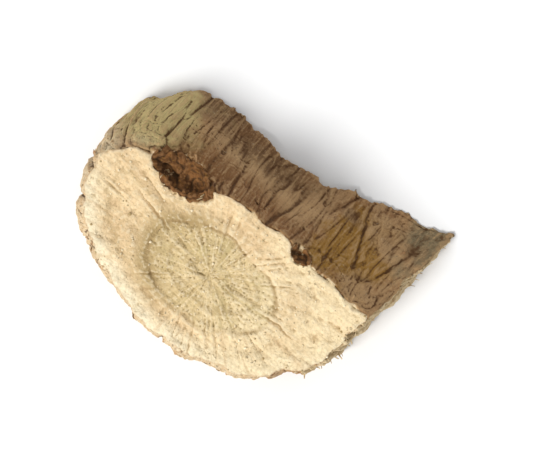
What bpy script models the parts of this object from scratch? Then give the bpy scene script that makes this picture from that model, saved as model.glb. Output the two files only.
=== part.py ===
"""A chip of dried, chopped ashwagandha root, lying on its lower cut face.

The chip is one thick slice of one root, so it is one solid. It is made the way the real one came to be:
a length of root is lofted from the slice's foot to its rim with the wrinkles of shrunken bark, then
blades take off the top, the underside and one end, and flakes of bark break away along the rim.

Everything is shaped in millimetres in the slice's own frame. In it "a" runs along the ridge, where the
upper cut face meets the tall bark flank, "b" runs across it towards that flank, and z is up. The chip is
turned, centred on its origin and brought to metres at the end.
"""

import math

import bmesh
import bpy
import numpy as np
from mathutils import Euler, Matrix, Vector, noise

MM = 0.001

# The upper cut face: a plane that rises towards the ridge, through this height at a = b = 0
FACE_HEIGHT = 2.50
FACE_TILT = math.radians(20.0)
FACE_CENTRE = (0.0, -0.85)

# The slice's frame is turned by this about Z, so that +X is the chip's longest side
SLICE_TURN = math.radians(-39.07)

# Ribs follow the bark up from the foot of the slice to the rim of its upper face, each as
# (rim a, rim b, foot a, foot b, belly). They go round anticlockwise from the end that is broken off.
# The belly is how far the bark stands out halfway up, and is negative where it is hollow.
RIBS = (
    (4.28, 0.08, 4.95, 0.90, 0.00),
    (4.02, 0.46, 5.30, 2.50, 0.00),
    (3.52, 0.64, 4.90, 3.72, -0.12),
    (3.02, 0.75, 3.70, 3.56, -0.20),
    (2.45, 0.78, 2.75, 3.36, -0.22),
    (1.85, 0.86, 1.95, 3.16, -0.22),
    (1.05, 0.98, 1.10, 2.92, -0.24),
    (0.25, 1.00, 0.25, 2.78, -0.24),
    (-0.60, 0.93, -0.65, 2.76, -0.14),
    (-1.35, 0.72, -1.55, 2.68, 0.05),
    (-2.05, 0.52, -2.35, 2.62, 0.20),
    (-2.80, 0.42, -3.02, 2.08, 0.24),
    (-3.38, 0.20, -3.68, 1.52, 0.22),
    (-3.68, -0.28, -3.92, 0.48, 0.12),
    (-3.58, -0.98, -3.74, -0.82, 0.10),
    (-3.02, -1.62, -3.05, -1.55, 0.20),
    (-2.08, -2.22, -2.00, -2.05, 0.25),
    (-0.45, -2.60, -0.35, -2.35, 0.25),
    (1.20, -2.52, 1.25, -2.25, 0.24),
    (2.38, -1.92, 2.42, -1.62, 0.22),
    (3.18, -1.14, 3.25, -0.80, 0.16),
    (3.74, -0.42, 3.90, 0.00, 0.06),
)
SPARE_ABOVE = 0.55
SPARE_BELOW = 0.45
AROUND = 300
UPWARDS = 46
STEPS_PER_RIB = 24

# Each relief is drawn from its own layer of one smooth noise, and the layers lie this far apart
RELIEFS = (
    "folds",
    "creases",
    "bands",
    "crack line",
    "scores",
    "fine scores",
    "swell",
    "hollows",
    "saw marks",
    "splinters",
    "fine splinters",
    "ring line",
    "tear line",
    "bites",
)
LAYERS_APART = 17.3

# Wrinkles of the bark: narrow furrows between round ridges, which run up the root. Each is (gap across
# the root, run along it, depth), and about this much of the depth lies above the mean surface.
FOLDS = (1.05, 7.0, 0.34)
CREASES = (0.42, 2.6, 0.10)
BANDS = (4.0, 1.30, 0.05)
ABOVE_MEAN = 0.28

# Upper face: the wood has sunk inside its ring, and it is uneven. The blade left long shallow scores,
# each as (run, gap, depth), and past a ragged line towards the broken end the wood tore out a little lower.
DISH_DEPTH = 0.15
RING_AT = 0.74
RING_WIDTH = 0.050
RING_DEPTH = 0.075
RING_WANDER = (1.3, 1.3, 0.03)
SWELL = (1.7, 1.2, 0.10)
SCORES = (2.4, 0.26, 0.045)
FINE_SCORES = (1.1, 0.13, 0.027)
TEAR_AT = 2.15
TEAR_WIDTH = 0.10
TEAR_DEPTH = 0.10
TEAR_WANDER = (0.9, 0.5, 0.35)
# Drying cracks in the face, each as (start a, start b, end a, end b, width, depth)
CRACKS = (
    (-1.10, -0.62, 0.95, -1.22, 0.060, 0.17),
    (-2.75, -0.95, -1.70, -0.80, 0.055, 0.12),
    (0.55, -1.95, 1.20, -1.35, 0.050, 0.11),
)
CRACK_WANDER = (0.45, 1.0, 0.10)

# The broken end: a plane through these two points of the outline, and its splinters, which run up the root
END_RIM = (3.54, -0.10)
END_TIP = (3.95, 3.57)
END_LEAN = math.radians(-3.0)
END_MIDDLE = 1.2
SPLINTERS = (1.5, 0.30, 0.11)
FINE_SPLINTERS = (0.6, 0.16, 0.055)

# Underside: lands that touch the table, with hollows between them where the blade skipped
HOLLOWS = (1.9, 1.52, 0.45)
SAW_MARKS = (2.0, 0.3, 0.054)
LAND = 0.018

# A blade's side, which reaches past the chip whichever way it is turned, its thickness, and how many
# cells each blade has along its side
BLADE_SIDE = 12
BLADE_THICKNESS = 3
UPPER_CELLS = 150
LOWER_CELLS = 100
END_CELLS = 110

# Bites where the bark flaked off: (a, b, z), (half sizes along a, b, z), turn about z in degrees
NICKS = (
    ((-1.86, 0.66, 2.66), (0.70, 0.44, 0.58), 12),
    ((1.46, 0.98, 2.88), (0.30, 0.30, 0.44), -20),
    ((-2.75, 0.55, 2.80), (0.34, 0.20, 0.22), 30),
    ((3.16, 0.84, 2.85), (0.40, 0.20, 0.28), -24),
    ((-3.72, -0.52, 2.42), (0.22, 0.36, 0.26), 8),
    ((-1.30, -2.62, 1.66), (0.46, 0.17, 0.22), -6),
    ((2.02, -2.42, 1.78), (0.34, 0.17, 0.24), 24),
    ((0.10, 2.72, 0.06), (0.42, 0.18, 0.24), 0),
    ((4.02, 3.70, 0.42), (0.36, 0.24, 0.36), -35),
)
LUMPS_PER_RADIUS = 1.6
LUMPINESS = 0.35

# Surface: even cells this wide, thinned to this many triangles. What lies this near the table rests on it
CELL = 0.062
TRIANGLES = 7600
RESTING = 0.022
WELD = 1e-5

# Finishes. A face is cut wood where it points within these angles of straight out of a cut
BARK_COLOUR = (0.44, 0.31, 0.18)
BARK_ROUGHNESS = 0.85
WOOD_COLOUR = (0.76, 0.61, 0.38)
WOOD_ROUGHNESS = 0.90
UPPER_WITHIN = math.radians(28)
LOWER_WITHIN = math.radians(37)


def clear_scene():
    for obj in list(bpy.data.objects):
        bpy.data.objects.remove(obj, do_unlink=True)


def collection(name):
    made = bpy.data.collections.new(name)
    bpy.context.scene.collection.children.link(made)
    return made


def field(relief, a, b, c=0, draw=0):
    """Smooth noise from about -1 to 1, which changes over a distance of 1."""
    layer = 1 + RELIEFS.index(relief) + draw
    return noise.noise(Vector((a, b, c + LAYERS_APART * layer)))


def streaks(relief, size, a, b, offset=0):
    """A relief that is (run along a, gap across b, depth) in size."""
    run, gap, depth = size
    return depth * (field(relief, a / run, b / gap) - offset)


def new_object(name, bm, home):
    mesh = bpy.data.meshes.new(name)
    bm.to_mesh(mesh)
    bm.free()
    obj = bpy.data.objects.new(name, mesh)
    home.objects.link(obj)
    return obj


def loop_through(points, count):
    """A closed smooth curve through the points, as count samples spaced evenly along the outline."""
    knots = np.array(points)
    samples = []
    for i in range(len(knots)):
        before, start, end, after = (knots[(i + k) % len(knots)] for k in (-1, 0, 1, 2))
        slope = end - before
        bend = 2 * before - 5 * start + 4 * end - after
        twist = 3 * start - before - 3 * end + after
        for step in range(STEPS_PER_RIB):
            s = step / STEPS_PER_RIB
            samples.append(start + (slope * s + bend * s**2 + twist * s**3) / 2)
    samples = np.array(samples + samples[:1])
    middle = (samples[:, 0:2] + samples[:, 2:4]) / 2
    travelled = np.concatenate([[0], np.cumsum(np.linalg.norm(np.diff(middle, axis=0), axis=1))])
    wanted = np.linspace(0, travelled[-1], count, endpoint=False)
    return np.column_stack([np.interp(wanted, travelled, column) for column in samples.T])


def outward_of(ribs):
    """The level direction that faces out of the bark at each rib."""
    middle = (ribs[:, 0:2] + ribs[:, 2:4]) / 2
    along = np.roll(middle, -1, axis=0) - np.roll(middle, 1, axis=0)
    across = np.column_stack([along[:, 1], -along[:, 0]])
    return across / np.linalg.norm(across, axis=1)[:, None]


def rim_height(b):
    return FACE_HEIGHT + math.tan(FACE_TILT) * b


def bark_relief(a, b, height):
    """How far the bark stands out: folds along the root, finer creases and faint bands round it."""
    relief = 0
    for name, (gap, run, depth) in (("folds", FOLDS), ("creases", CREASES)):
        relief += depth * (abs(field(name, a / gap, b / gap, height / run)) - ABOVE_MEAN)
    gap, run, depth = BANDS
    return relief + depth * field("bands", a / gap, b / gap, height / run)


def root_length(home):
    """The root before it is chopped: a tube of bark from below the table to above the upper face."""
    ribs = loop_through(RIBS, AROUND)
    outward = outward_of(ribs)
    bm = bmesh.new()
    bmesh.ops.create_grid(bm, x_segments=AROUND, y_segments=UPWARDS, size=0.5)
    for vert in bm.verts:
        column = round((vert.co.x + 0.5) * AROUND) % AROUND
        rim_a, rim_b, foot_a, foot_b, belly = ribs[column]
        rise = rim_height(rim_b)
        lowest = -SPARE_BELOW / rise
        highest = 1 + SPARE_ABOVE / rise
        up = lowest + (highest - lowest) * (vert.co.y + 0.5)
        swell = belly * 4 * up * (1 - up) if 0 < up < 1 else 0
        a = foot_a + (rim_a - foot_a) * up
        b = foot_b + (rim_b - foot_b) * up
        out = swell + bark_relief((rim_a + foot_a) / 2, (rim_b + foot_b) / 2, rise * up)
        vert.co = (a + outward[column][0] * out, b + outward[column][1] * out, rise * up)
    bmesh.ops.remove_doubles(bm, verts=bm.verts, dist=WELD)
    mouths = [edge for edge in bm.edges if edge.is_boundary]
    lids = bmesh.ops.holes_fill(bm, edges=mouths, sides=0)["faces"]
    bmesh.ops.triangulate(bm, faces=lids)
    bmesh.ops.recalc_face_normals(bm, faces=bm.faces[:])
    return new_object("root_chip", bm, home)


def rim_in_polar():
    """The rim seen from the face's centre, as angles and the reach at each."""
    rim = loop_through(RIBS, AROUND)[:, 0:2] - np.array(FACE_CENTRE)
    angles = np.arctan2(rim[:, 1], rim[:, 0])
    order = np.argsort(angles)
    return angles[order], np.hypot(rim[:, 0], rim[:, 1])[order]


RIM_ANGLES, RIM_REACHES = rim_in_polar()


def rim_share(a, b):
    """How far out a point of the upper face lies: 0 at the middle of the root, 1 at its bark."""
    angle = math.atan2(b - FACE_CENTRE[1], a - FACE_CENTRE[0])
    reach = np.interp(angle, RIM_ANGLES, RIM_REACHES, period=2 * math.pi)
    return math.hypot(a - FACE_CENTRE[0], b - FACE_CENTRE[1]) / reach


def crack_depth(a, b, crack):
    """A wandering groove, deepest halfway along."""
    start_a, start_b, end_a, end_b, width, depth = crack
    length = math.hypot(end_a - start_a, end_b - start_b)
    along_a, along_b = (end_a - start_a) / length, (end_b - start_b) / length
    along = (a - start_a) * along_a + (b - start_b) * along_b
    if not 0 < along < length:
        return 0
    wander = streaks("crack line", CRACK_WANDER, along, start_a)
    aside = (b - start_b) * along_a - (a - start_a) * along_b - wander
    return depth * math.sin(math.pi * along / length) * math.exp(-((aside / width) ** 2))


def upper_cut(x, y):
    a = x + FACE_CENTRE[0]
    b = y * math.cos(FACE_TILT) + FACE_CENTRE[1]
    share = rim_share(a, b)
    dish = DISH_DEPTH * max(0, 1 - share**2)
    uneven = streaks("ring line", RING_WANDER, a, b)
    ring_off = (share - RING_AT - uneven) / RING_WIDTH
    ring = RING_DEPTH * (0.6 + uneven / RING_WANDER[2]) * math.exp(-(ring_off**2))
    scores = streaks("scores", SCORES, a, b) + streaks("fine scores", FINE_SCORES, a, b)
    past_tear = (a - TEAR_AT - streaks("tear line", TEAR_WANDER, a, b)) / TEAR_WIDTH
    tear = TEAR_DEPTH * (1 + math.tanh(past_tear)) / 2
    cracks = sum(crack_depth(a, b, crack) for crack in CRACKS)
    return streaks("swell", SWELL, a, b) + scores - dish - ring - tear - cracks


def lower_cut(x, y):
    """Seen from below, so that a hollow goes up into the chip and is negative here."""
    hollow = streaks("hollows", HOLLOWS, x, y) - LAND
    return -max(0, hollow + streaks("saw marks", SAW_MARKS, x, y))


def end_cut(x, y):
    """On this blade x goes down the chip, along the splinters, and y across it."""
    return streaks("splinters", SPLINTERS, x, y) + streaks("fine splinters", FINE_SPLINTERS, x, y)


def blade(name, cells, cut, where, turn, home):
    """A slab whose cut face, its lower side, leaves its relief on the chip."""
    bm = bmesh.new()
    bmesh.ops.create_grid(bm, x_segments=cells, y_segments=cells, size=BLADE_SIDE / 2)
    for vert in bm.verts:
        vert.co.z = cut(vert.co.x, vert.co.y)
    raised = bmesh.ops.extrude_face_region(bm, geom=bm.faces[:])["geom"]
    for vert in raised:
        if isinstance(vert, bmesh.types.BMVert):
            vert.co.z = BLADE_THICKNESS
    bmesh.ops.recalc_face_normals(bm, faces=bm.faces[:])
    obj = new_object(name, bm, home)
    obj.location = where
    obj.rotation_euler = turn
    return obj


def upper_blade(home):
    where = (*FACE_CENTRE, rim_height(FACE_CENTRE[1]))
    return blade("upper_blade", UPPER_CELLS, upper_cut, where, Euler((FACE_TILT, 0, 0)), home)


def lower_blade(home):
    return blade("lower_blade", LOWER_CELLS, lower_cut, (0, 0, 0), Euler((math.pi, 0, 0)), home)


def end_blade(home):
    line = Vector(END_TIP) - Vector(END_RIM)
    middle = (Vector(END_TIP) + Vector(END_RIM)) / 2
    facing = math.atan2(line.y, line.x) - math.pi / 2
    turn = Matrix.Rotation(facing, 3, "Z") @ Matrix.Rotation(math.pi / 2 + END_LEAN, 3, "Y")
    return blade("end_blade", END_CELLS, end_cut, (*middle, END_MIDDLE), turn.to_euler(), home)


def nick(number, place, half_sizes, turn, home):
    """A bite out of the rim: a lump with an uneven surface."""
    bm = bmesh.new()
    bmesh.ops.create_icosphere(bm, subdivisions=3, radius=1)
    for vert in bm.verts:
        vert.co *= 1 + LUMPINESS * field("bites", *(vert.co * LUMPS_PER_RADIUS), number)
        vert.co = Vector(c * h for c, h in zip(vert.co, half_sizes))
    obj = new_object(f"nick_{number}", bm, home)
    obj.location = place
    obj.rotation_euler = (0, 0, math.radians(turn))
    return obj


def bake_modifiers(obj):
    graph = bpy.context.evaluated_depsgraph_get()
    baked = bpy.data.meshes.new_from_object(obj.evaluated_get(graph))
    obj.modifiers.clear()
    rough = obj.data
    obj.data = baked
    bpy.data.meshes.remove(rough)
    baked.name = obj.name


def take_off(chip, cutters):
    """Cuts the cutters' shapes out of the chip, then covers it with an even skin of cells."""
    for cutter in cutters:
        cut = chip.modifiers.new(cutter.name, "BOOLEAN")
        cut.operation = "DIFFERENCE"
        cut.object = cutter
    skin = chip.modifiers.new("skin", "REMESH")
    skin.mode = "VOXEL"
    skin.voxel_size = CELL
    bake_modifiers(chip)


def thin_out(chip):
    """Fewer triangles, most of them left where the surface bends."""
    faces = sum(len(face.vertices) - 2 for face in chip.data.polygons)
    thin = chip.modifiers.new("thin", "DECIMATE")
    thin.ratio = TRIANGLES / faces
    bake_modifiers(chip)


def lay_down(chip):
    """Levels the lands, turns and centres the chip over its origin in metres, and returns that move."""
    for vert in chip.data.vertices:
        if vert.co.z < RESTING:
            vert.co.z = 0
    turn = Matrix.Rotation(SLICE_TURN, 4, "Z")
    points = np.array([turn @ vert.co for vert in chip.data.vertices])
    centre = (points.min(axis=0) + points.max(axis=0)) / 2
    to_origin = Matrix.Translation((-centre[0], -centre[1], 0))
    placing = Matrix.Scale(MM, 4) @ to_origin @ turn
    chip.data.transform(placing)
    return placing


def put_away(cutters, placing):
    """Keeps the cutters where they cut, as wire that is never rendered."""
    for cutter in cutters:
        cutter.data.transform(placing @ cutter.matrix_world)
        cutter.matrix_world = Matrix.Identity(4)
        cutter.hide_render = True
        cutter.display_type = "WIRE"


def finish(name, colour, roughness):
    material = bpy.data.materials.new(name)
    material.use_nodes = True
    shader = material.node_tree.nodes["Principled BSDF"]
    shader.inputs["Base Color"].default_value = (*colour, 1)
    shader.inputs["Roughness"].default_value = roughness
    shader.inputs["Metallic"].default_value = 0
    return material


def paint(chip):
    """Bark all over, and pale wood on the faces that point the way the two cuts do."""
    chip.data.materials.append(finish("root_bark", BARK_COLOUR, BARK_ROUGHNESS))
    chip.data.materials.append(finish("cut_wood", WOOD_COLOUR, WOOD_ROUGHNESS))
    upward = Matrix.Rotation(SLICE_TURN, 3, "Z") @ Vector((0, -math.sin(FACE_TILT), math.cos(FACE_TILT)))
    downward = Vector((0, 0, -1))
    for face in chip.data.polygons:
        upper = face.normal.angle(upward, math.pi) < UPPER_WITHIN
        lower = face.normal.angle(downward, math.pi) < LOWER_WITHIN
        face.material_index = int(upper or lower)
        face.use_smooth = True


def main():
    clear_scene()
    home = collection("ashwagandha_root")
    cutter_home = collection("cutters")
    chip = root_length(home)
    knives = [upper_blade(cutter_home), lower_blade(cutter_home), end_blade(cutter_home)]
    bites = [nick(number, *bite, cutter_home) for number, bite in enumerate(NICKS)]
    take_off(chip, knives)
    take_off(chip, bites)
    thin_out(chip)
    placing = lay_down(chip)
    put_away(knives + bites, placing)
    paint(chip)


main()
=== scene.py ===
"""The look of a chip of dried, chopped ashwagandha root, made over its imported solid.

The chip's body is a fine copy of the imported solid. Its facets are melted away, then its surface is carved:
wrinkled cork on the bark, rings, rays, pores, knife scores and drying cracks on the two cut faces, and
splinters on the broken end. Loose ends of fibre, peeling scales of cork and crumbs of starch are pieces of
their own, rooted in the body. Lengths are in millimetres until each piece is brought to metres.
"""

import math
import random

import bmesh
import bpy
import numpy as np
from mathutils import Matrix, Vector, kdtree, noise


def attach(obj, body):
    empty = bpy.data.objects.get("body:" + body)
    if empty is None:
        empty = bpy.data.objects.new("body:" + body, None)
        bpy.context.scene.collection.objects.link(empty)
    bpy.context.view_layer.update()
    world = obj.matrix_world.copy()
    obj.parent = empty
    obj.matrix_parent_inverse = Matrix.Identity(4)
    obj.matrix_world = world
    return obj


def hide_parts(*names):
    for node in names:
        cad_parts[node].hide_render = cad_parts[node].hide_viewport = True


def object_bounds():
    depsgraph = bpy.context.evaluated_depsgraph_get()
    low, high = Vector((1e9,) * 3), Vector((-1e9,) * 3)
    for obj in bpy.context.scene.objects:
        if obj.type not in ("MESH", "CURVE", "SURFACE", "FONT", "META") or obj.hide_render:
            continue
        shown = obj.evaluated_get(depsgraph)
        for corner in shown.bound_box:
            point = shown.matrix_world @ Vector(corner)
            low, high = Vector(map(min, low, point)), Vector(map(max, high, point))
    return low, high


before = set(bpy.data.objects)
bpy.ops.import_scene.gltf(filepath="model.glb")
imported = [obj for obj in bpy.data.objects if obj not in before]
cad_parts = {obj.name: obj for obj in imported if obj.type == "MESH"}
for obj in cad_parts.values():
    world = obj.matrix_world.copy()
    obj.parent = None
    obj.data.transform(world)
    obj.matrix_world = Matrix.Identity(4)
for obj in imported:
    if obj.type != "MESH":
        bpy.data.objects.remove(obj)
solid_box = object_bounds()

MM = 0.001

# The slice's own frame: "a" runs along the ridge between the upper cut face and the tall bark flank, and
# "b" runs across it towards the flank. It is turned about Z, and a = b = 0 lies here in the chip's frame.
SLICE_ORIGIN = (-0.861, -0.257)
SLICE_TURN = math.radians(-39.07)

# The planes of the upper cut and of the broken end, and the middle of the root's rings, in that frame
FACE_HEIGHT = 2.50
FACE_TILT = math.radians(20.0)
END_POINT = (3.745, 1.735, 1.2)
END_FACING = math.radians(-6.4)
END_LEAN = math.radians(3.0)
PITH = (0.10, -0.72)
MIDDLE_HEIGHT = 1.3

# Places where the bark broke away, as (a, b, z) and half sizes, in the same frame
BREAKS = (
    ((-1.86, 0.66, 2.66), (0.74, 0.48, 0.62)),
    ((1.46, 0.98, 2.88), (0.29, 0.29, 0.44)),
    ((4.02, 3.70, 0.42), (0.40, 0.30, 0.40)),
)

# A point belongs to such a place by its distance from the middle, in half sizes and with a minus sign, and
# to a cut or the broken end by how squarely it faces their way and how far beyond their plane it lies.
# Each pair runs from not at all to in full.
BREAK_REACH = (-1.22, -1.06)
CUT_FACING = (0.62, 0.86)
TORN_FACING = (0.55, 0.85)
UPPER_BEYOND = (-0.62, -0.46)
LOWER_BEYOND = (-0.60, -0.45)
TORN_BEYOND = (-0.45, -0.28)

# The lean of the root's fibres, for every millimetre of height: all of it leans a little, the flank more
# and the spur most. The flank begins and is full at these places along b, and the spur along a.
FLANK_SPAN = (-0.6, 1.6)
SPUR_SPAN = (2.2, 4.6)
SPUR_LEAN_A = 0.45
LEAN_B = 0.14
FLANK_LEAN_B = 0.50
SPUR_LEAN_B = 0.40

# The body's mesh, in this order: how near to each other the solid's points are joined, the mesh's cells,
# the rounds that melt the solid's facets and the last ones over the whole surface, with their strengths,
# the fold that counts as a sharp edge, where along it distances are taken, how near it the melting stops,
# and the triangles that are left in the end
WELD_GAP = 0.0005
CELL = 0.031
MELT_ROUNDS = 26
MELT_SHARE = 0.5
LAST_ROUNDS = 2
LAST_SHARE = 0.4
EDGE_ANGLE = math.radians(34)
EDGE_STOPS = (0, 0.25, 0.5, 0.75, 1)
EDGE_REACH = 0.16
BODY_TRIANGLES = 190000

# Rounds of averaging over neighbours, for the way a place faces and for the hollows of two sizes, and the
# depth that counts as one in each size
FACING_ROUNDS = 12
FURROW_ROUNDS = 8
FURROW_SCALE = 0.010
VALLEY_ROUNDS = 90
VALLEY_SCALE = 0.060

# Noise layers lie this far apart, so that each relief has its own
LAYERS_APART = 17.3

# Drying cracks in the upper face, each as (start a, start b, end a, end b, width, depth)
CRACKS = (
    (-1.10, -0.64, -2.50, -0.32, 0.030, 0.08),
    (1.35, -0.80, 2.60, -0.72, 0.030, 0.08),
    (-0.62, -1.32, -1.35, -1.92, 0.024, 0.06),
    (0.22, -0.45, 0.52, 0.30, 0.024, 0.06),
    (1.05, -0.35, 1.85, 0.22, 0.026, 0.06),
    (0.55, -1.55, 1.05, -2.15, 0.024, 0.06),
    (0.10, -0.86, 0.42, -0.66, 0.018, 0.05),
    (0.10, -0.86, -0.28, -0.98, 0.018, 0.05),
    (0.10, -0.86, 0.14, -1.22, 0.016, 0.04),
)

# The cut faces: half the length and the width of the wood's oval round the pith, the widths of the
# cambium's line and the cork's, the gap between two growth rings, and the vessels that show as pores
WOOD_REACH = (1.62, 1.18)
CAMBIUM_WIDTH = 0.055
CORK_WIDTH = 0.07
RING_GAP = 0.30
PORES = 620
PORE_RADII = (0.012, 0.026)
PORE_DEPTH = 0.040

# Loose ends of fibre: how many are tried, their sizes, how far they stand off and stray, how clear of the
# table they end, each pattern's sides and steps and its taper with every step, and the patterns' bends
FIBRES = 110
FIBRE_THICKNESS = (0.030, 0.075)
FIBRE_LENGTHS = (0.10, 0.28)
FIBRE_LIFT = 0.09
FIBRE_STRAY = 0.07
TABLE_GAP = 0.04
STRAND_SIDES = 5
STRAND_STEPS = 6
STRAND_TAPER = 0.86
STRAND_BENDS = (0.03, 0.10, 0.20)

# Scales of cork: how many there are, their lengths, the length, width and height as shares of the length,
# how far they stray from the fibres' way, how deep they are rooted, the thickness of a pattern 1 long, and
# how many patterns there are
SCALES = 80
SCALE_LENGTHS = (0.12, 0.34)
SCALE_SHAPE = (1.0, 0.38, 0.17)
SCALE_STRAY = 0.3
SCALE_SINK = 0.004
SCALE_THICKNESS = 0.05
SCALE_PATTERNS = 4

# Crumbs of starch: how many there are, the smallest, how much larger the largest is, how far off the
# surface the middle lies, as a share of the size, and how many patterns there are
CRUMBS = 520
CRUMB_SMALLEST = 0.018
CRUMB_SPREAD = 0.045
CRUMB_RISE = 0.2
CRUMB_PATTERNS = 4

# A place where less than this is wanted gets no loose bit
LEAST_WANTED = 0.02

# Where the bark and the upper face are stained, as (a, b, radius), and the height and the width of the
# paler band round the tall flank, which is painted light along its middle
# The olive spot on the shoulder is partly olive cork, partly painted light where the shoulder faces the sky
OLIVE_AND_SKYLIT_SPOTS = ((-3.3, 1.3, 1.6),)
GREY_SPOTS = ((3.75, 3.0, 1.15), (4.5, 3.3, 0.9))
GOLD_SPOTS = ((2.35, 1.70, 1.15), (1.75, 1.2, 0.6))
RED_SPOTS = ((-2.1, 0.9, 0.6), (-1.6, 1.2, 1.2), (-0.4, 1.35, 1.1), (0.8, 1.3, 0.7))
TAN_SPOTS = ((0.75, 1.95, 0.85), (3.0, 1.0, 0.6), (2.75, 2.6, 0.7))
FACE_SPOTS = ((0.35, 0.55, 0.65), (-2.2, -1.3, 0.6), (2.0, -0.2, 0.6))
LIT_BELT_AT = 1.25
LIT_BELT_WIDTH = 0.50

# The colours of the cork, of the cut and torn wood, of the darkest brown and of the paper, as linear light
CORK = (0.375, 0.200, 0.088)
CORK_DARK = (0.110, 0.048, 0.018)
CORK_RED = (0.235, 0.105, 0.036)
CORK_GOLD = (0.37, 0.190, 0.032)
CORK_OLIVE_SKYLIT = (0.68, 0.56, 0.25)
CORK_GREY = (0.255, 0.215, 0.125)
CORK_PALE = (0.56, 0.355, 0.175)
CORK_BUFF = (0.86, 0.71, 0.47)
CORTEX_PALE = (0.89, 0.78, 0.56)
CORTEX = (0.82, 0.62, 0.37)
CORTEX_TAN = (0.64, 0.46, 0.26)
WOOD = (0.68, 0.525, 0.285)
WOOD_OLIVE = (0.53, 0.425, 0.21)
WOOD_PALE = (0.87, 0.72, 0.46)
WOOD_TAN = (0.43, 0.31, 0.145)
WOOD_DARK = (0.33, 0.22, 0.10)
TORN_TAN = (0.47, 0.33, 0.165)
TORN_PALE = (0.66, 0.49, 0.275)
DARKEST_BROWN = (0.09, 0.048, 0.022)
PAPER = (0.905, 0.917, 0.935)
PAPER_LIGHT = (0.925, 0.937, 0.955)

# How much each stain of the bark, and each band of painted light and shade, covers, in the order in which
# they are laid on
STAINS_AND_PAINTED_LIGHT = (
    # Partly olive cork, partly painted light where the shoulder faces the sky
    ("olive", CORK_OLIVE_SKYLIT, 0.85),
    ("grey", CORK_GREY, 0.85),
    ("gold", CORK_GOLD, 0.90),
    ("red", CORK_RED, 0.85),
    ("tan", CORK_PALE, 0.70),
    # Paler bark on the lower left side: partly its own colour, partly painted light where it faces the key
    ("pale_lit_side", CORK_BUFF, 0.74),
    # Painted shade low on the tall flank
    ("foot_shade", CORK_DARK, 0.60),
    # Painted shade close under the ridge, in a redder bark colour
    ("under_ridge_shade", CORK_RED, 0.62),
)

# The heights of the finest relief, in metres, which the materials draw on the mesh
GRAIN_BUMP = 0.000018
ROUGH_BUMP = 0.000045
CELL_BUMP = 0.000012

# The studio: the floor's side in metres, the way to the key light, its strength, width and colour, the
# light from all round, the lens and its sensor in millimetres, and the share of the picture's width that
# the chip takes
FLOOR_SIDE = 2.0
TO_LIGHT = (-0.506, -0.424, 0.751)
KEY_ENERGY = 2.66
KEY_WIDTH = math.radians(20)
KEY_COLOUR = (1.0, 0.985, 0.955)
SKY_COLOUR = (1.0, 1.0, 1.0, 1)
SKY_STRENGTH = 0.56
LENS = 300.0
SENSOR = 36.0
CHIP_SHARE = 0.72


def ramp(value, start, end):
    """Smoothly from 0 at start to 1 at end."""
    share = np.clip((value - start) / (end - start), 0, 1)
    return share * share * (3 - 2 * share)


def field(layer, x, y, z=0.0):
    """Smooth noise from about -1 to 1, which changes over a distance of 1."""
    places = np.column_stack(np.broadcast_arrays(x, y, z)) + LAYERS_APART * layer
    return np.array([noise.noise(place) for place in places.tolist()])


def line(value, width):
    """1 where the value is 0, and falling off over the width: with noise it draws wandering lines."""
    return np.exp(-((value / width) ** 2))


def read_points(mesh):
    """The mesh's points, one in a row."""
    flat = np.empty(3 * len(mesh.vertices), np.float32)
    mesh.vertices.foreach_get("co", flat)
    return flat.reshape(-1, 3).astype(float)


def read_normals(mesh):
    """The outward directions at the mesh's points, one in a row."""
    flat = np.empty(3 * len(mesh.vertices), np.float32)
    mesh.vertex_normals.foreach_get("vector", flat)
    return flat.reshape(-1, 3).astype(float)


def write_points(mesh, points):
    """Moves the mesh's points to these places."""
    mesh.vertices.foreach_set("co", points.astype(np.float32).ravel())
    mesh.update()


def even_out(mesh, values, rounds):
    """Each point's vector, averaged with its neighbours' again and again."""
    ends = np.empty(2 * len(mesh.edges), np.int32)
    mesh.edges.foreach_get("vertices", ends)
    first, second = ends.reshape(-1, 2).T
    count = len(values)
    neighbours = np.bincount(ends, minlength=count)[:, None]
    for _ in range(rounds):
        sums = [
            np.bincount(first, column[second], count) + np.bincount(second, column[first], count)
            for column in values.T
        ]
        values = (values + np.column_stack(sums) / neighbours) / 2
    return values


def write_values(mesh, name, values):
    """A value or a vector at each point, which the materials read by name."""
    kind, field_name = ("FLOAT", "value") if values.ndim == 1 else ("FLOAT_VECTOR", "vector")
    layer = mesh.attributes.new(name, kind, "POINT")
    layer.data.foreach_set(field_name, values.astype(np.float32).ravel())


def select_only(obj):
    bpy.ops.object.select_all(action="DESELECT")
    obj.select_set(True)
    bpy.context.view_layer.objects.active = obj


def apply(obj, kind, **settings):
    """Adds a modifier with its settings and makes its result the mesh."""
    select_only(obj)
    modifier = obj.modifiers.new(kind.lower(), kind)
    for name, value in settings.items():
        setattr(modifier, name, value)
    bpy.ops.object.modifier_apply(modifier=modifier.name)


def to_slice(points):
    """Points or directions of the chip's frame, turned to run along a, b and z."""
    cos, sin = math.cos(SLICE_TURN), math.sin(SLICE_TURN)
    x, y, z = points.T
    return np.column_stack([cos * x + sin * y, cos * y - sin * x, z])


def fibre_lean(a, b):
    """How far a and b each fall along the root's fibres for every millimetre of height."""
    flank = ramp(b, *FLANK_SPAN)
    spur = flank * ramp(a, *SPUR_SPAN)
    return SPUR_LEAN_A * spur, LEAN_B + FLANK_LEAN_B * flank + SPUR_LEAN_B * spur


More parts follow.
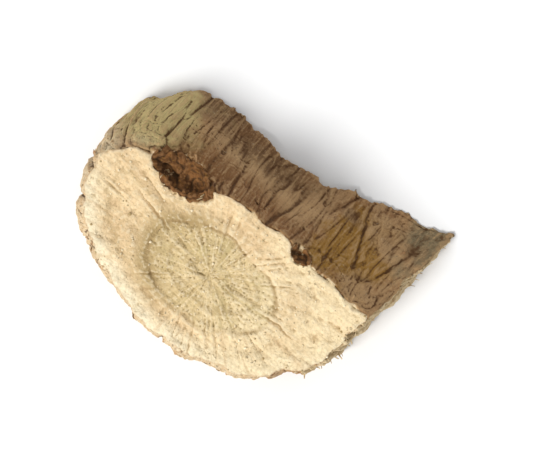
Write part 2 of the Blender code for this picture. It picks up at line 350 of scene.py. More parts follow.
class Surface:
    """Where each point of the body lies on the root: its place in the slice, and the kind of surface."""

    def __init__(self, mesh):
        self.points = read_points(mesh)
        self.normals = read_normals(mesh)
        self.a, self.b, self.z = to_slice(self.points - np.array([*SLICE_ORIGIN, 0])).T
        broad = even_out(mesh, self.normals, FACING_ROUNDS)
        broad /= np.linalg.norm(broad, axis=1)[:, None]
        self.find_kinds(to_slice(broad))
        self.follow_fibres()
        self.find_rings()

    def find_kinds(self, facing):
        """Shares out each point among the cut faces, the broken end, the broken places and the bark."""
        places = np.column_stack([self.a, self.b, self.z])
        up = np.array([0, -math.sin(FACE_TILT), math.cos(FACE_TILT)])
        above = (self.z - FACE_HEIGHT) * up[2] + self.b * up[1]
        self.upper = ramp(facing @ up, *CUT_FACING) * ramp(above, *UPPER_BEYOND)
        self.lower = ramp(-facing[:, 2], *CUT_FACING) * ramp(-self.z, *LOWER_BEYOND)
        level = math.cos(END_LEAN)
        out = np.array([level * math.cos(END_FACING), level * math.sin(END_FACING), math.sin(END_LEAN)])
        beyond = places @ out - np.dot(END_POINT, out)
        self.end = ramp(facing @ out, *TORN_FACING) * ramp(beyond, *TORN_BEYOND)
        self.end *= 1 - np.maximum(self.upper, self.lower)
        ragged = wander(self, 23, 0.30) + 0.6 * wander(self, 27, 0.11)
        broken = np.zeros(len(self.a))
        for place, half_sizes in BREAKS:
            away = np.linalg.norm((places - place) / half_sizes, axis=1) + 0.20 * ragged
            broken = np.maximum(broken, ramp(-away, *BREAK_REACH))
        self.broken = broken * (1 - self.lower)
        self.cut = np.maximum(self.upper, self.lower) * (1 - self.broken)
        self.bark = 1 - np.maximum(np.maximum(self.cut, self.end), self.broken)

    def follow_fibres(self):
        """Slides each point along the root's fibres to half height, so that patterns run up the root."""
        lean_a, lean_b = fibre_lean(self.a, self.b)
        rise = self.z - MIDDLE_HEIGHT
        self.mid_a = self.a + lean_a * rise
        self.mid_b = self.b + lean_b * rise

    def find_rings(self):
        """How deep each point of a cut face lies under the bark, and its turn and reach round the pith."""
        tree = kdtree.KDTree(int(np.count_nonzero(self.bark > 0.5)))
        for i in np.flatnonzero(self.bark > 0.5):
            tree.insert(self.points[i], int(i))
        tree.balance()
        self.depth = np.zeros(len(self.points))
        for i in np.flatnonzero(self.bark <= 0.5):
            self.depth[i] = tree.find(self.points[i])[2]
        from_pith_a = self.mid_a - PITH[0]
        from_pith_b = self.mid_b - PITH[1]
        self.reach = np.hypot(from_pith_a, from_pith_b)
        self.ray_a = from_pith_a / np.maximum(self.reach, 0.05)
        self.ray_b = from_pith_b / np.maximum(self.reach, 0.05)
        self.ring = self.reach / (self.reach + self.depth + 0.01)
        oval = np.hypot(self.ray_a / WOOD_REACH[0], self.ray_b / WOOD_REACH[1])
        bends = 0.16 * field(30, 1.6 * self.ray_a, 1.6 * self.ray_b) + 0.07 * wander(self, 32, 0.40)
        self.past_wood = self.reach - 1 / np.maximum(oval, 0.1) - bends


def wander(surface, layer, size):
    """Smooth noise over the surface, which changes over the size."""
    return field(layer, surface.a / size, surface.b / size, surface.z / size)


def peeled(surface):
    """1 where the outermost cork has come off in thin sheets, and more of it on the low side."""
    sheets = field(5, surface.mid_a / 0.55, surface.mid_b / 0.55, surface.z / 1.1)
    ragged = 0.35 * field(6, surface.mid_a / 0.12, surface.mid_b / 0.12, surface.z / 0.3)
    low_side = 0.35 * ramp(-surface.b, 0.4, 1.6)
    return ramp(sheets + ragged + low_side, 0.08, 0.16)


# Each relief below is how far the surface stands out, in millimetres: a sum of patterns, each times its
# height. The numbers in a pattern's arguments are the distances over which it changes along a, b and z.


def bark_relief(surface):
    """Cork: long wrinkles and striations up the root, short cracks across them, thin sheets and grain."""
    a, b, z = surface.mid_a, surface.mid_b, surface.z
    wide = field(1, a / 0.80, b / 0.80, z / 6.0)
    narrow = field(2, a / 0.33, b / 0.33, z / 3.6)
    relief = -0.070 * line(wide, 0.080) - 0.030 * line(narrow, 0.10)
    ribs = 0.4 - np.abs(field(3, a / 0.15, b / 0.15, z / 2.2))
    relief += 0.034 * ribs + 0.014 * field(9, a / 0.06, b / 0.06, z / 1.0)
    across = field(4, a / 0.85, b / 0.85, z / 0.22)
    relief -= 0.022 * line(across, 0.06) * ramp(wander(surface, 8, 1.1), 0.05, 0.35)
    relief -= 0.026 * peeled(surface)
    relief += 0.014 * field(19, a / 2.0, b / 2.0, z / 0.32)
    relief += 0.009 * wander(surface, 18, 0.07)
    return relief + 0.045 * wander(surface, 7, 0.9)


def crack_depths(surface, cracks):
    """How deep each point lies in one of the cracks, which bend, and close towards both ends."""
    total = np.zeros(len(surface.a))
    for number, (start_a, start_b, end_a, end_b, width, depth) in enumerate(cracks):
        length = math.hypot(end_a - start_a, end_b - start_b)
        along_a, along_b = (end_a - start_a) / length, (end_b - start_b) / length
        along = (surface.a - start_a) * along_a + (surface.b - start_b) * along_b
        shape = np.sin(math.pi * np.clip(along / length, 0, 1))
        bends = 0.07 * field(20, along / 0.40, start_a) + 0.03 * field(21 + number, along / 0.09, 0.0)
        aside = (surface.b - start_b) * along_a - (surface.a - start_a) * along_b - bends
        total = np.maximum(total, depth * shape * line(aside, width * (0.35 + 0.65 * shape)))
    return total


def cambium(surface):
    """The thin dark line round the wood, which fades in and out on its way."""
    fades = ramp(field(31, 2.3 * surface.ray_a, 2.3 * surface.ray_b, 0.7), -0.35, 0.30)
    return line(surface.past_wood, CAMBIUM_WIDTH) * (0.15 + 0.85 * fades)


def pore_depths(surface):
    """Small open vessels in the wood."""
    draw = random.Random(5)
    picks = np.flatnonzero((surface.cut > 0.8) & (surface.past_wood < 0)).tolist()
    picks = draw.sample(picks, min(PORES, len(picks)))
    radii = {i: draw.uniform(*PORE_RADII) for i in picks}
    tree = kdtree.KDTree(len(picks))
    for i in picks:
        tree.insert(surface.points[i], i)
    tree.balance()
    depths = np.zeros(len(surface.a))
    for i in np.flatnonzero(surface.cut > 0.5):
        _, pore, distance = tree.find(surface.points[i])
        depths[i] = PORE_DEPTH * math.exp(-((distance / radii[pore]) ** 2))
    return depths


def rings(surface):
    """Waves that follow the root's rings, oval in the wood, and every second one is stronger."""
    turns = (surface.past_wood + 0.10 * wander(surface, 11, 0.7)) / RING_GAP
    return 0.55 * np.sin(2 * math.pi * turns) + 0.55 * np.sin(math.pi * turns)


def cut_relief(surface):
    """Cut wood: knife scores, rays and rings, the cambium's groove, pores, cracks and starchy grain."""
    a, b, z = surface.a, surface.b, surface.z
    spokes = field(10, 10 * surface.ray_a, 10 * surface.ray_b, surface.ring * 1.5)
    splits = line(field(24, 6 * surface.ray_a, 6 * surface.ray_b, surface.ring * 0.8), 0.05)
    relief = 0.026 * spokes - 0.036 * splits * ramp(wander(surface, 25, 0.8), 0.0, 0.35)
    relief += 0.012 * rings(surface)
    relief -= 0.034 * cambium(surface)
    scores = field(12, a / 3.0, b / 0.11) + 0.7 * field(13, a / 1.4, b / 0.055)
    lower_scores = field(14, (a + b) / 2.6, (a - b) / 0.16)
    relief += 0.015 * (surface.upper * scores + surface.lower * lower_scores)
    flakes = np.tanh(10 * field(26, a / 0.42, b / 0.20, z))
    relief += 0.012 * flakes + 0.016 * wander(surface, 15, 0.30) + 0.016 * wander(surface, 16, 0.11)
    relief += 0.014 * wander(surface, 17, 0.06)
    relief -= pore_depths(surface)
    return relief - surface.upper * crack_depths(surface, CRACKS)


def torn_relief(surface):
    """Torn wood: sharp splinters that run up the root and break off in steps, with slits between some."""
    a, b, z = surface.mid_a, surface.mid_b, surface.z
    bundles = np.tanh(5 * field(45, a / 0.42, b / 0.42, z / 3.2))
    crests = 0.5 - 2 * np.abs(field(40, a / 0.17, b / 0.17, z / 1.7)) * (0.5 + np.abs(bundles))
    strands = crests + 0.7 * field(41, a / 0.07, b / 0.07, z / 0.6)
    slits = line(field(42, a / 0.34, b / 0.34, z / 2.4), 0.07) * ramp(wander(surface, 46, 0.8), -0.2, 0.3)
    steps = np.tanh(9 * field(43, a / 0.26, b / 0.26, z / 0.8))
    relief = 0.024 * strands + 0.030 * bundles - 0.085 * slits + 0.034 * steps
    return relief + 0.020 * wander(surface, 44, 0.08) + 0.03 * wander(surface, 47, 0.35)


def hollow_relief(surface):
    """Torn, crumbly wood inside the places where bark broke away."""
    a, b, z = surface.mid_a, surface.mid_b, surface.z
    strands = 0.5 - 2 * np.abs(field(50, a / 0.11, b / 0.11, z / 2.4))
    pits = line(field(53, a / 0.30, b / 0.30, z / 0.9), 0.09)
    relief = 0.022 * strands - 0.05 * pits
    return relief + 0.045 * wander(surface, 51, 0.22) + 0.034 * wander(surface, 52, 0.08)


def on_rims(surface):
    """1 where the bark meets another kind of surface, and 0 well inside either."""
    return 4 * surface.bark * (1 - surface.bark)


def rim_wear(surface):
    """Crumbled edges: where the bark meets another kind of surface, bits are missing."""
    bites = np.abs(wander(surface, 60, 0.35)) + 0.5 * np.abs(wander(surface, 61, 0.13))
    return -0.085 * on_rims(surface) * bites


def carve(mesh):
    """Moves each point in or out by the relief of its kinds of surface, and none below the table."""
    surface = Surface(mesh)
    relief = surface.bark * bark_relief(surface)
    relief += surface.cut * cut_relief(surface)
    relief += surface.end * torn_relief(surface)
    relief += surface.broken * hollow_relief(surface)
    relief += rim_wear(surface)
    points = surface.points + surface.normals * relief[:, None]
    points[:, 2] = np.maximum(points[:, 2], 0)
    write_points(mesh, points)


def near_sharp_edges(mesh, points):
    """1 away from the solid's sharp edges and 0 on them, at each of the points."""
    shape = bmesh.new()
    shape.from_mesh(mesh)
    folds = [edge for edge in shape.edges if len(edge.link_faces) == 2]
    sharp = [tuple(edge.verts) for edge in folds if edge.calc_face_angle() > EDGE_ANGLE]
    spots = [one.co.lerp(other.co, stop) for one, other in sharp for stop in EDGE_STOPS]
    shape.free()
    tree = kdtree.KDTree(len(spots))
    for i, spot in enumerate(spots):
        tree.insert(spot, i)
    tree.balance()
    distances = np.array([tree.find(point)[2] for point in points])
    return ramp(distances, 0.25 * EDGE_REACH, EDGE_REACH)


def smooth_copy(solid):
    """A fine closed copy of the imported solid, without its facets but with its sharp rims."""
    chip = bpy.data.objects.new("root_body", solid.data.copy())
    bpy.context.scene.collection.objects.link(chip)
    chip.data.materials.clear()
    chip.data.transform(Matrix.Scale(1 / MM, 4))
    select_only(chip)
    bpy.ops.object.mode_set(mode="EDIT")
    bpy.ops.mesh.select_all(action="SELECT")
    bpy.ops.mesh.remove_doubles(threshold=WELD_GAP)
    bpy.ops.object.mode_set(mode="OBJECT")
    sharp_source = chip.data.copy()
    apply(chip, "REMESH", mode="VOXEL", voxel_size=CELL)
    weights = near_sharp_edges(sharp_source, read_points(chip.data))
    bpy.data.meshes.remove(sharp_source)
    group = chip.vertex_groups.new(name="away_from_rims")
    for i, weight in enumerate(weights.tolist()):
        group.add([i], weight, "REPLACE")
    apply(chip, "SMOOTH", factor=MELT_SHARE, iterations=MELT_ROUNDS, vertex_group=group.name)
    apply(chip, "SMOOTH", factor=LAST_SHARE, iterations=LAST_ROUNDS)
    chip.vertex_groups.clear()
    return chip


def hollows(mesh, surface, rounds, scale):
    """How far each point lies below the mean surface round it: above 0 in furrows, below 0 on ridges."""
    mean = even_out(mesh, surface.points, rounds)
    return np.einsum("ij,ij->i", mean - surface.points, surface.normals) / scale


def stain(surface, layer, spots):
    """1 in the middle of each spot, with cloudy edges."""
    cloud = 0.45 * wander(surface, layer, 0.6) + 0.25 * wander(surface, layer + 1, 0.2)
    total = np.zeros(len(surface.a))
    for a, b, radius in spots:
        away = np.hypot(surface.a - a, surface.b - b) / radius
        total = np.maximum(total, ramp(cloud - away, -1.0, -0.35))
    return total


def below_upper_cut(surface):
    """How far below the plane of the upper cut each point lies."""
    return FACE_HEIGHT + math.tan(FACE_TILT) * surface.b - surface.z


def ridge_shade_band(surface):
    """Painted shade close under the ridge, partly redder bark, widest where the bark broke away from it."""
    below = below_upper_cut(surface)
    width = 0.22 + 0.55 * line(surface.a + 1.5, 1.1) + 0.12 * wander(surface, 79, 0.5)
    return ramp(width - below, -0.15, 0.15) * ramp(surface.b, 0.0, 0.5) * ramp(-surface.a, -3.2, -2.2)


def foot_shade_band(surface):
    """Painted shade low on the tall flank, from the shoulder to the waist and fainter past it."""
    low = ramp(-surface.z + 0.2 * wander(surface, 72, 0.5), -1.30, -0.60)
    reach = ramp(surface.a, -2.8, -2.1) * (0.3 + 0.7 * ramp(-surface.a, -0.7, 0.2))
    return low * reach * ramp(surface.b, 1.0, 1.8)


def note_surface(mesh):
    """Writes down on the mesh what the materials need to know about each point."""
    surface = Surface(mesh)
    # Painted light: a paler band along the middle of the tall flank
    lit_belt = line(surface.z - LIT_BELT_AT - 0.25 * wander(surface, 70, 0.8), LIT_BELT_WIDTH)
    values = {
        "bark": surface.bark,
        "torn": surface.end,
        "broken": surface.broken,
        "depth": surface.depth,
        "cambium": cambium(surface) * surface.cut,
        "wood": ramp(-surface.past_wood, -0.10, 0.14),
        "halo": line(surface.past_wood - 0.04, 0.30) * ramp(-surface.a, -0.1, 1.0),
        "inner_line": line(surface.depth - 0.52, 0.06) * ramp(-surface.a, 0.4, 2.0),
        "low_side": ramp(-surface.b, 0.0, 1.2),
        # Paler bark on the lower left side: partly its own colour, partly painted light where it faces the
        # key
        "pale_lit_side": ramp(-surface.b - 0.35 * surface.a + 0.5 * wander(surface, 84, 0.8), 0.2, 1.4),
        "under_ridge_shade": ridge_shade_band(surface),
        "far_side": ramp(surface.a + 0.4 * wander(surface, 71, 0.7), 0.2, 1.9),
        "rings": rings(surface),
        "lit_belt": lit_belt * ramp(surface.b, 0.9, 1.5),
        "foot_shade": foot_shade_band(surface),
        "peeled": peeled(surface),
        "olive": stain(surface, 73, OLIVE_AND_SKYLIT_SPOTS),
        "grey": stain(surface, 80, GREY_SPOTS),
        "gold": stain(surface, 75, GOLD_SPOTS),
        "tan": stain(surface, 82, TAN_SPOTS),
        "face_stains": stain(surface, 86, FACE_SPOTS),
        "red": stain(surface, 77, RED_SPOTS) * ramp(surface.z, 1.1, 2.0),
        "grain": np.column_stack([surface.mid_a, surface.mid_b, surface.z]),
        "rays": np.column_stack([surface.ray_a, surface.ray_b, surface.ring]),
        "slice": np.column_stack([surface.a, surface.b, surface.z]),
        "furrow": hollows(mesh, surface, FURROW_ROUNDS, FURROW_SCALE),
        "valley": hollows(mesh, surface, VALLEY_ROUNDS, VALLEY_SCALE),
    }
    for name, column in values.items():
        write_values(mesh, name, column)
    return surface


class Finish:
    """A material, built up by short calls that each give back an output socket."""

    def __init__(self, name, roughness, specular=0.25):
        self.material = bpy.data.materials.new(name)
        self.material.use_nodes = True
        self.tree = self.material.node_tree
        self.shader = self.tree.nodes["Principled BSDF"]
        self.shader.inputs["Roughness"].default_value = roughness
        self.shader.inputs["Specular IOR Level"].default_value = specular

    def put(self, socket, value):
        """Links an output to the socket, or sets a number, a vector or a colour on it."""
        if isinstance(value, bpy.types.NodeSocket):
            self.tree.links.new(value, socket)
        elif isinstance(value, tuple) and socket.type == "RGBA":
            socket.default_value = (*value, 1)
        else:
            socket.default_value = value

    def node(self, kind, output, inputs, **settings):
        """Adds a node with its inputs and settings, and gives back one of its outputs."""
        made = self.tree.nodes.new("ShaderNode" + kind)
        for name, value in settings.items():
            setattr(made, name, value)
        for name, value in inputs.items():
            self.put(made.inputs[name], value)
        return made.outputs[output]

    def value(self, name):
        """A value that was written down on the mesh."""
        return self.node("Attribute", "Fac", {}, attribute_name=name)

    def place(self, name):
        """A vector that was written down on the mesh."""
        return self.node("Attribute", "Vector", {}, attribute_name=name)

    def object_place(self):
        """The place on the piece in millimetres."""
        own = self.node("TexCoord", "Object", {})
        return self.node("Mapping", "Vector", {"Vector": own, "Scale": (1 / MM,) * 3})

    def noise(self, where, size, detail=3.0, rough=0.55):
        """Noise from 0 to 1 that changes over the size, which is one length or three."""
        sizes = size if isinstance(size, tuple) else (size,) * 3
        spot = self.node("Mapping", "Vector", {"Vector": where, "Scale": tuple(1 / s for s in sizes)})
        inputs = {"Vector": spot, "Scale": 1.0, "Detail": detail, "Roughness": rough}
        return self.node("TexNoise", "Fac", inputs)

    def cells(self, where, size):
        """How far each place is from the middle of its cell."""
        spot = self.node("Mapping", "Vector", {"Vector": where, "Scale": (1 / size,) * 3})
        return self.node("TexVoronoi", "Distance", {"Vector": spot, "Scale": 1.0})

    def spread(self, value, low, high, to_low=0.0, to_high=1.0):
        """Smoothly from to_low where the value is low to to_high where it is high."""
        inputs = {"Value": value, "From Min": low, "From Max": high, "To Min": to_low, "To Max": to_high}
        return self.node("MapRange", "Result", inputs, interpolation_type="SMOOTHSTEP")

    def maths(self, operation, first, second):
        return self.node("Math", "Value", {0: first, 1: second}, operation=operation)

    def share_of(self, name, share):
        """A value that was written down on the mesh, times a share."""
        return self.maths("MULTIPLY", self.value(name), share)

    def mix(self, share, first, second):
        """The first colour where the share is 0, and the second where it is 1."""
        inputs = {0: share, 6: first, 7: second}
        return self.node("Mix", 2, inputs, data_type="RGBA", clamp_factor=True)

    def bump(self, height, distance, under=None):
        """A relief as high as the distance, in metres, on top of the one under it."""
        inputs = {"Height": height, "Distance": distance, "Strength": 1.0}
        if under is not None:
            inputs["Normal"] = under
        return self.node("Bump", "Normal", inputs)


def bark_colour(finish):
    """Brown cork with olive, golden and red stains, paler on the low side, dark in its furrows, with painted
    light and shade.
    """
    grain = finish.place("grain")
    place = finish.object_place()
    furrow = finish.value("furrow")
    colour = finish.mix(finish.spread(finish.noise(place, 1.1), 0.40, 0.65, 0.0, 0.35), CORK, CORK_GREY)
    colour = finish.mix(finish.share_of("peeled", 0.55), colour, CORK_PALE)
    # Painted light: the middle of the tall flank is made paler
    colour = finish.mix(finish.share_of("lit_belt", 0.50), colour, CORK_PALE)
    for name, tint, share in STAINS_AND_PAINTED_LIGHT:
        colour = finish.mix(finish.share_of(name, share), colour, tint)
    hairlines = finish.noise(grain, (0.035, 0.035, 0.8), 4.0, 0.6)
    colour = finish.mix(finish.spread(hairlines, 0.52, 0.70, 0.0, 0.35), colour, CORK_PALE)
    colour = finish.mix(finish.spread(hairlines, 0.46, 0.30, 0.0, 0.45), colour, CORK_DARK)
    streaks = finish.noise(grain, (0.10, 0.10, 1.8), 4.0, 0.6)
    colour = finish.mix(finish.spread(streaks, 0.52, 0.74, 0.0, 0.55), colour, CORK_PALE)
    colour = finish.mix(finish.spread(streaks, 0.48, 0.28, 0.0, 0.60), colour, CORK_DARK)
    colour = finish.mix(finish.spread(furrow, -0.2, -1.2, 0.0, 0.50), colour, CORK_PALE)
    colour = finish.mix(finish.spread(furrow, 0.2, 1.4, 0.0, 0.80), colour, CORK_DARK)
    colour = finish.mix(finish.spread(finish.value("valley"), 0.1, 1.0, 0.0, 0.50), colour, CORK_DARK)
    dust = finish.spread(finish.noise(place, 0.07, 4.0, 0.7), 0.60, 0.72, 0.0, 0.35)
    colour = finish.mix(dust, colour, CORK_BUFF)
    flecks = finish.spread(finish.noise(place, 0.14, 3.0, 0.6), 0.66, 0.72, 0.0, 0.55)
    return finish.mix(flecks, colour, DARKEST_BROWN)


def wood_colour(finish):
    """Starchy cut root: a pale rind, the cambium's dark line, and darker wood with rings and rays."""
    place = finish.object_place()
    depth = finish.value("depth")
    furrow = finish.value("furrow")
    inner = finish.value("wood")
    # Paler rind on the low side: partly paler cortex, partly painted light where that edge faces the key
    pale = finish.share_of("low_side", finish.spread(depth, 0.50, 0.10))
    outer = finish.mix(pale, CORTEX, CORTEX_PALE)
    colour = finish.mix(inner, outer, WOOD)
    colour = finish.mix(finish.share_of("far_side", 0.75), colour, WOOD_PALE)
    clouds = finish.spread(finish.noise(place, 0.7, 5.0, 0.6), 0.44, 0.66, 0.0, 0.65)
    colour = finish.mix(finish.maths("MULTIPLY", clouds, inner), colour, WOOD_OLIVE)
    shade = finish.mix(inner, CORTEX_TAN, WOOD_OLIVE)
    ring_share = finish.spread(finish.value("rings"), 0.1, 0.9, 0.0, 0.65)
    colour = finish.mix(finish.maths("MULTIPLY", ring_share, inner), colour, WOOD_TAN)
    rays = finish.noise(finish.place("rays"), (0.07, 0.07, 0.9), 4.0)
    colour = finish.mix(finish.spread(rays, 0.51, 0.66, 0.0, 0.50), colour, WOOD_PALE)
    colour = finish.mix(finish.spread(rays, 0.48, 0.32, 0.0, 0.60), colour, shade)
    fibres = finish.noise(finish.place("slice"), (1.1, 0.05, 0.4), 4.0)
    colour = finish.mix(finish.spread(fibres, 0.54, 0.75, 0.0, 0.35), colour, WOOD_PALE)
    colour = finish.mix(finish.spread(fibres, 0.44, 0.26, 0.0, 0.30), colour, WOOD_DARK)
    colour = finish.mix(finish.share_of("face_stains", 0.45), colour, CORTEX_TAN)
    starch = finish.spread(finish.noise(place, 0.09, 4.0, 0.65), 0.57, 0.72, 0.0, 0.40)
    colour = finish.mix(starch, colour, CORTEX_PALE)
    colour = finish.mix(finish.share_of("halo", 0.95), colour, WOOD_TAN)
    colour = finish.mix(finish.share_of("inner_line", 0.35), colour, WOOD_TAN)
    colour = finish.mix(finish.share_of("cambium", 0.65), colour, WOOD_DARK)
    colour = finish.mix(finish.spread(depth, CORK_WIDTH, 0.0, 0.0, 0.6), colour, CORK)
    colour = finish.mix(finish.spread(furrow, -0.2, -1.2, 0.0, 0.35), colour, CORTEX_PALE)
    colour = finish.mix(finish.spread(furrow, 0.4, 2.2, 0.0, 0.75), colour, WOOD_DARK)
    colour = finish.mix(finish.spread(finish.value("valley"), 0.1, 0.9, 0.0, 0.35), colour, shade)
    grains = finish.spread(finish.cells(place, 0.085), 0.35, 0.75, 0.0, 0.22)
    colour = finish.mix(grains, colour, WOOD_TAN)
    flecks = finish.spread(finish.noise(place, 0.15, 3.0, 0.6), 0.67, 0.73, 0.0, 0.50)
    return finish.mix(flecks, colour, WOOD_DARK)


def torn_colour(finish):
    """Torn wood: tan and pale fibres, darker between them."""
    grain = finish.place("grain")
    furrow = finish.value("furrow")
    streaks = finish.noise(grain, (0.06, 0.06, 0.9), 4.0, 0.6)
    colour = finish.mix(finish.spread(streaks, 0.35, 0.70), TORN_TAN, TORN_PALE)
    colour = finish.mix(finish.spread(furrow, -0.2, -1.0, 0.0, 0.5), colour, WOOD_PALE)
    return finish.mix(finish.spread(furrow, 0.1, 1.2, 0.0, 0.9), colour, WOOD_DARK)


def broken_colour(finish):
    """The inside of the broken places: dark red cork with golden streaks, and darker in its furrows."""
    place = finish.object_place()
    furrow = finish.value("furrow")
    stains = finish.spread(finish.noise(place, 0.25, 4.0), 0.35, 0.65)
    colour = finish.mix(stains, CORK_DARK, CORK_RED)
    streaks = finish.noise(finish.place("grain"), (0.05, 0.05, 0.7), 4.0)
    colour = finish.mix(finish.spread(streaks, 0.54, 0.72, 0.0, 0.5), colour, CORK_GOLD)
    colour = finish.mix(finish.spread(furrow, -0.3, -1.6, 0.0, 0.30), colour, CORK)
    return finish.mix(finish.spread(furrow, 0.2, 1.4, 0.0, 0.8), colour, DARKEST_BROWN)


def body_finish():
    """Each kind of surface in its own colours, with ragged borders where they meet."""
    finish = Finish("dried_root", 0.88, 0.14)
    place = finish.object_place()
    grain = finish.place("grain")
    ragged = finish.spread(finish.noise(place, 0.12, 4.0), 0.25, 0.75, -0.3, 0.3)
    colour = wood_colour(finish)
    for name, paint in (("torn", torn_colour), ("bark", bark_colour), ("broken", broken_colour)):
        share = finish.maths("ADD", finish.value(name), ragged)
        colour = finish.mix(finish.spread(share, 0.40, 0.60), colour, paint(finish))
    finish.put(finish.shader.inputs["Base Color"], colour)
    relief = finish.bump(finish.noise(grain, (0.035, 0.035, 0.40), 4.0), GRAIN_BUMP)
    relief = finish.bump(finish.noise(place, 0.12, 6.0, 0.70), ROUGH_BUMP, relief)
    relief = finish.bump(finish.cells(place, 0.075), CELL_BUMP, relief)
    finish.put(finish.shader.inputs["Normal"], relief)
    rough = finish.spread(finish.noise(place, 0.2), 0.3, 0.7, 0.80, 0.95)
    finish.put(finish.shader.inputs["Roughness"], rough)
    return finish.material


def make_body():
    """The chip itself, carved and painted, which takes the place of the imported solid."""
    chip = smooth_copy(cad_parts["root_chip"])
    carve(chip.data)
    triangles = sum(len(face.vertices) - 2 for face in chip.data.polygons)
    if triangles > BODY_TRIANGLES:
        apply(chip, "DECIMATE", ratio=BODY_TRIANGLES / triangles)
    for face in chip.data.polygons:
        face.use_smooth = True
    surface = note_surface(chip.data)
    chip.data.transform(Matrix.Scale(MM, 4))
    chip.data.materials.append(body_finish())
    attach(chip, "root")
    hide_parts("root_chip")
    return surface


def fibre_finish():
    finish = Finish("loose_fibre", 0.85)
    tone = finish.noise(finish.object_place(), 0.25, 3.0)
    colour = finish.mix(finish.spread(tone, 0.35, 0.65), WOOD_DARK, WOOD_PALE)
    finish.put(finish.shader.inputs["Base Color"], colour)
    return finish.material


def scale_finish():
    finish = Finish("peeling_cork", 0.85)
    place = finish.object_place()
    patches = finish.spread(finish.noise(place, 0.30, 3.0), 0.35, 0.65)
    flecks = finish.spread(finish.noise(place, 0.05, 3.0), 0.50, 0.70, 0.0, 0.6)
    colour = finish.mix(flecks, finish.mix(patches, CORK, CORK_PALE), CORK_RED)
    finish.put(finish.shader.inputs["Base Color"], colour)
    return finish.material


def crumb_finish():
    finish = Finish("starch_crumbs", 0.92)
    tone = finish.noise(finish.object_place(), 0.30, 2.0)
    colour = finish.mix(finish.spread(tone, 0.35, 0.60), WOOD_TAN, CORTEX_PALE)
    finish.put(finish.shader.inputs["Base Color"], colour)
    return finish.material


def strand(bend):
    """A loose end of fibre, 1 long and 1 across: a pentagon drawn out and thinned, bending as it goes."""
    bpy.ops.mesh.primitive_circle_add(
        vertices=STRAND_SIDES, radius=0.5, fill_type="NGON", location=(0, 0, 0)
    )
    pattern = bpy.context.object
    bpy.ops.object.mode_set(mode="EDIT")
    for step in range(STRAND_STEPS):
        shift = (bend * (step + 0.5), 0.35 * bend * math.sin(2.1 * step), 1 / STRAND_STEPS)
        bpy.ops.mesh.extrude_region_move(TRANSFORM_OT_translate={"value": shift})
        bpy.ops.transform.resize(value=(STRAND_TAPER,) * 3)
    bpy.ops.mesh.select_all(action="SELECT")
    bpy.ops.mesh.normals_make_consistent(inside=False)
    bpy.ops.object.mode_set(mode="OBJECT")
    return pattern


def cork_scale(seed):
    """A thin scale of cork, 1 long and 1 wide, that lifts and curls at one end."""
    bpy.ops.mesh.primitive_grid_add(x_subdivisions=6, y_subdivisions=5, size=1, location=(0, 0, 0))
    pattern = bpy.context.object
    for vert in pattern.data.vertices:
        x, y, _ = vert.co
        ragged = noise.noise(Vector((3 * x, 3 * y, 5.1 * seed)))
        along = x * (1 + 0.5 * ragged)
        across = y * (1 - 0.6 * abs(x) + 0.5 * ragged)
        lift = 0.9 * max(0, x) ** 2 - 0.5 * y * y
        vert.co = (along, across, lift)
    apply(pattern, "SOLIDIFY", thickness=SCALE_THICKNESS, offset=0)
    return pattern


def crumb(seed):
    """A crumb 1 across."""
    bpy.ops.mesh.primitive_ico_sphere_add(subdivisions=2, radius=0.5, location=(0, 0, 0))
    pattern = bpy.context.object
    for vert in pattern.data.vertices:
        vert.co *= 1 + 0.8 * noise.noise(2.2 * vert.co + Vector((0, 0, 7.7 * seed)))
    return pattern


def scatter(name, patterns, placings, material):
    """One piece made of copies of the patterns, each at its own place."""
    joined = bmesh.new()
    for number, placing in enumerate(placings):
        known = len(joined.verts)
        joined.from_mesh(patterns[number % len(patterns)].data)
        joined.verts.ensure_lookup_table()
        bmesh.ops.transform(joined, matrix=placing, verts=joined.verts[known:])
    mesh = bpy.data.meshes.new(name)
    joined.to_mesh(mesh)
    joined.free()
    for pattern in patterns:
        bpy.data.objects.remove(pattern, do_unlink=True)
    piece = bpy.data.objects.new(name, mesh)
    bpy.context.scene.collection.objects.link(piece)
    mesh.transform(Matrix.Scale(MM, 4))
    for face in mesh.polygons:
        face.use_smooth = True
    mesh.materials.append(material)
    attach(piece, "root")


def placed(root, along, out, sizes):
    """A placing with its Z along one direction, its X as near as can be to another, and sizes by axis."""
    z = along.normalized()
    y = z.cross(out).normalized()
    x = y.cross(z)
    turn = Matrix((x, y, z)).transposed().to_4x4()
    return Matrix.Translation(root) @ turn @ Matrix.Diagonal((*sizes, 1))


def fibre_direction(surface, i):
    """The way the root's fibres run at a point, upwards, in the chip's frame."""
    lean_a, lean_b = fibre_lean(surface.a[i], surface.b[i])
    return (Matrix.Rotation(SLICE_TURN, 3, "Z") @ Vector((-lean_a, -lean_b, 1))).normalized()


def spots_where(surface, wanted, count, seed):
    """Points drawn at random, more often where more are wanted."""
    draw = random.Random(seed)
    places = np.flatnonzero(wanted > LEAST_WANTED).tolist()
    return draw, draw.choices(places, weights=wanted[places].tolist(), k=count)


def any_way(draw):
    """A direction drawn at random."""
    return Vector((draw.gauss(0, 1), draw.gauss(0, 1), draw.gauss(0, 1))).normalized()


def inside_box(point):
    """Whether a point, in millimetres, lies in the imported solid's box, clear of the table."""
    low, high = (corner / MM for corner in solid_box)
    return all(low[k] < point[k] < high[k] for k in range(3)) and point[2] > TABLE_GAP


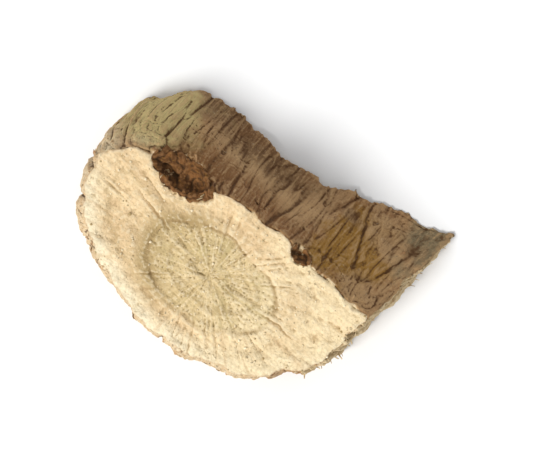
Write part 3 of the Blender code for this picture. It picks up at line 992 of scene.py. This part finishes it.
def make_fibres(surface):
    """Loose ends of fibre on the torn end, in the hollows and here and there along the rims."""
    rims = on_rims(surface) * ramp(surface.z, 0.3, 0.6)
    wanted = surface.end + 0.25 * surface.broken + 0.10 * rims
    draw, spots = spots_where(surface, wanted, FIBRES, 11)
    placings = []
    for i in spots:
        out = Vector(surface.normals[i])
        along = fibre_direction(surface, i) * draw.choice((1, 1, -1))
        along = along + FIBRE_LIFT * out + FIBRE_STRAY * any_way(draw)
        thick = draw.uniform(*FIBRE_THICKNESS)
        length = draw.uniform(*FIBRE_LENGTHS)
        root = Vector(surface.points[i]) - 0.5 * thick * out
        if inside_box(root + length * along.normalized()):
            placings.append(placed(root, along, out, (0.5 * thick, thick, length)))
    patterns = [strand(bend) for bend in STRAND_BENDS]
    scatter("loose_fibres", patterns, placings, fibre_finish())


def make_scales(surface):
    """Thin scales of cork that lift from the bark, most of them a little below its upper rim."""
    below_rim = below_upper_cut(surface)
    near_rim = ramp(-below_rim, -0.8, -0.3)
    wanted = ramp(surface.bark, 0.8, 1.0) * (0.15 + near_rim) * ramp(below_rim, 0.15, 0.25)
    wanted *= ramp(surface.z, 0.4, 0.8)
    draw, spots = spots_where(surface, wanted, SCALES, 12)
    placings = []
    for i in spots:
        out = Vector(surface.normals[i])
        along = fibre_direction(surface, i) * draw.choice((1, -1)) + SCALE_STRAY * any_way(draw)
        across = out.cross(along).normalized()
        flat = across.cross(out).normalized()
        turn = Matrix((flat, across, out)).transposed().to_4x4()
        long = draw.uniform(*SCALE_LENGTHS)
        size = Matrix.Diagonal((*(share * long for share in SCALE_SHAPE), 1))
        placings.append(Matrix.Translation(Vector(surface.points[i]) - SCALE_SINK * out) @ turn @ size)
    patterns = [cork_scale(seed) for seed in range(SCALE_PATTERNS)]
    scatter("cork_scales", patterns, placings, scale_finish())


def make_crumbs(surface):
    """Crumbs of starch caught on the rough cut face, in its cracks and in the bark's furrows."""
    wanted = surface.upper * (1 - surface.broken) + 0.02 * surface.bark * ramp(surface.z, 0.2, 0.5)
    draw, spots = spots_where(surface, wanted, CRUMBS, 13)
    placings = []
    for i in spots:
        out = Vector(surface.normals[i])
        size = CRUMB_SMALLEST + CRUMB_SPREAD * draw.random() ** 3
        sizes = (size * draw.uniform(0.7, 1.3), size * draw.uniform(0.7, 1.3), size)
        middle = Vector(surface.points[i]) + CRUMB_RISE * size * out
        placings.append(placed(middle, out, any_way(draw), sizes))
    patterns = [crumb(seed) for seed in range(CRUMB_PATTERNS)]
    scatter("starch_crumbs", patterns, placings, crumb_finish())


def floor_finish():
    finish = Finish("pale_paper", 0.95, 0.1)
    tone = finish.spread(finish.noise(finish.object_place(), 6.0), 0.3, 0.7)
    finish.put(finish.shader.inputs["Base Color"], finish.mix(tone, PAPER, PAPER_LIGHT))
    return finish.material


def make_stage():
    """The plain floor."""
    bpy.ops.mesh.primitive_plane_add(size=FLOOR_SIDE, location=(0, 0, 0))
    floor = bpy.context.object
    floor.name = "floor"
    floor.data.materials.append(floor_finish())


def make_lights():
    """A soft key from the lower left of the photo, half way up, and pale light from all round."""
    bpy.ops.object.light_add(type="SUN")
    key = bpy.context.object
    key.name = "key"
    key.rotation_euler = Vector(TO_LIGHT).to_track_quat("Z", "Y").to_euler()
    key.data.energy = KEY_ENERGY
    key.data.angle = KEY_WIDTH
    key.data.color = KEY_COLOUR
    world = bpy.data.worlds.new("studio")
    world.use_nodes = True
    sky = world.node_tree.nodes["Background"].inputs
    sky["Color"].default_value = SKY_COLOUR
    sky["Strength"].default_value = SKY_STRENGTH
    bpy.context.scene.world = world
    bpy.context.scene.view_settings.view_transform = "Standard"


def make_camera():
    """Straight above the chip, through a long lens."""
    low, high = solid_box
    width = (high[0] - low[0]) / CHIP_SHARE
    distance = width * LENS / SENSOR
    bpy.ops.object.camera_add(location=(0, 0, distance + high[2] / 2), rotation=(0, 0, 0))
    camera = bpy.context.object
    camera.data.lens = LENS
    camera.data.sensor_width = SENSOR
    camera.data.clip_start = MM
    bpy.context.scene.camera = camera


make_camera()
make_lights()
make_stage()
surface = make_body()
make_fibres(surface)
make_scales(surface)
make_crumbs(surface)
